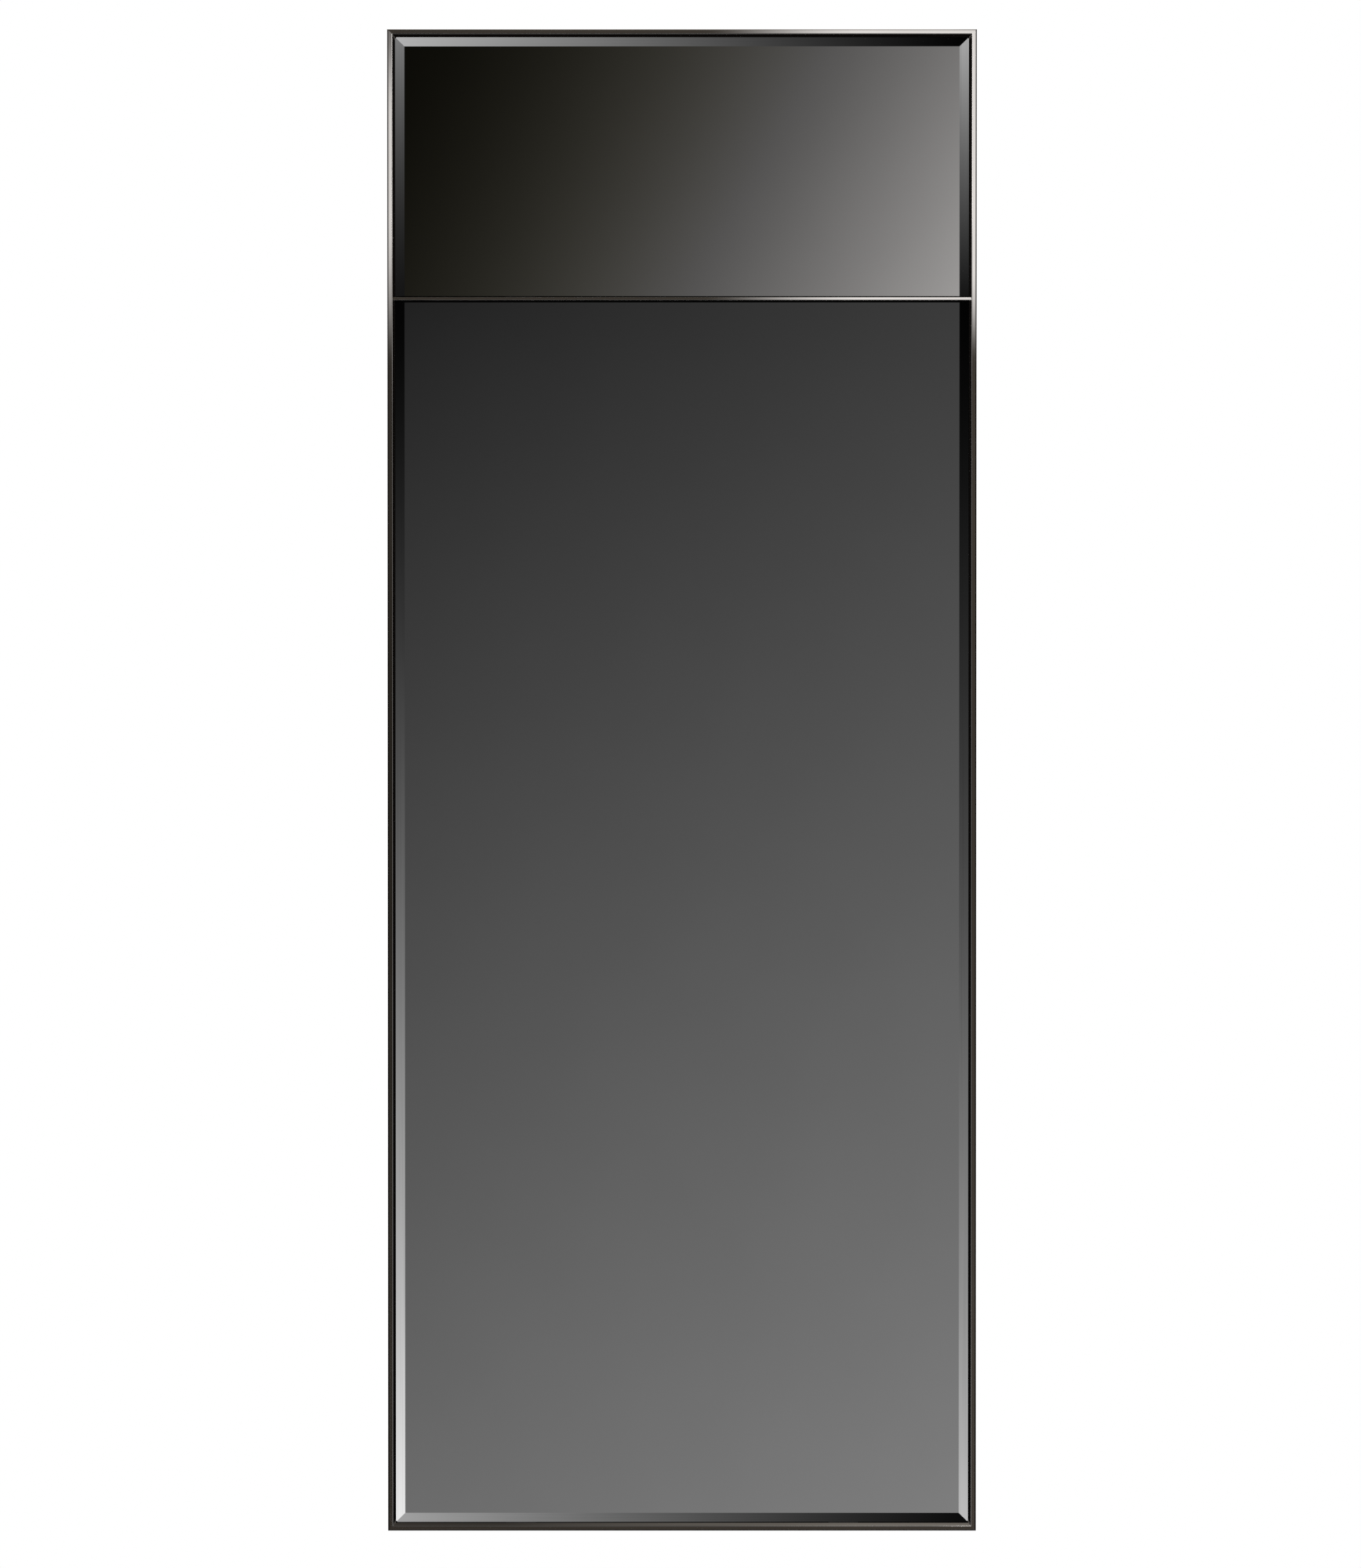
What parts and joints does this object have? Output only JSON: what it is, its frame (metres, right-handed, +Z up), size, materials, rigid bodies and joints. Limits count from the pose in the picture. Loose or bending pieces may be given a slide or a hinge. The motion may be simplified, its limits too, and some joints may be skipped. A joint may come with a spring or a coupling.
{
  "type": "wall mirror",
  "caption": "Tall wall mirror: an upper and a lower pane with bevelled outer edges, a thin cross rail between them and a slim polished metal frame that hangs on a bevelled cleat.",
  "frame": {"origin": "on the wall plane, midway between the screw holes of the wall cleat", "axes": "+X to the right of someone facing the mirror, +Y into the wall, so the mirror faces -Y, +Z up"},
  "size_m": [0.8, 0.0257, 2.04],
  "materials": {
    "polished_nickel": "steel bar with a polished, slightly warm nickel plate and fine polishing lines",
    "mirror_glass": "silvered float glass, clear, with polished bevels",
    "backing_film": "matt grey safety film",
    "foam_tape": "black closed-cell foam mounting tape",
    "black_rubber": "matt black rubber",
    "panel_wood": "birch plywood, clear lacquer on the back and black paint on the front",
    "zinc_steel": "bright zinc plate",
    "mill_aluminium": "mill-finish bar with faint lines along its length"
  },
  "bodies": {
    "wall_cleat": {"wall_cleat": "mill_aluminium"},
    "mirror": {"left_stile": "polished_nickel", "right_stile": "polished_nickel", "top_rail": "polished_nickel", "bottom_rail": "polished_nickel", "cross_rail": "polished_nickel", "upper_mirror_pane": "mirror_glass", "lower_mirror_pane": "mirror_glass", "upper_backing_film": "backing_film", "lower_backing_film": "backing_film", "upper_mounting_tape": "foam_tape", "lower_mounting_tape": "foam_tape", "upper_setting_blocks": "black_rubber", "lower_setting_blocks": "black_rubber", "back_panel": "panel_wood", "panel_screws": "zinc_steel", "top_left_corner_plate": "zinc_steel", "top_right_corner_plate": "zinc_steel", "bottom_left_corner_plate": "zinc_steel", "bottom_right_corner_plate": "zinc_steel", "corner_plate_screws": "zinc_steel", "cross_rail_screws": "zinc_steel", "mirror_cleat": "mill_aluminium", "mirror_cleat_screws": "zinc_steel", "left_spacer_pad": "black_rubber", "right_spacer_pad": "black_rubber"}
  },
  "joints": [
    {"name": "lift_off", "type": "slide", "parent": "wall_cleat", "child": "mirror", "axis": [0, 0, 1], "range_m": [0, 0.012]}
  ]
}
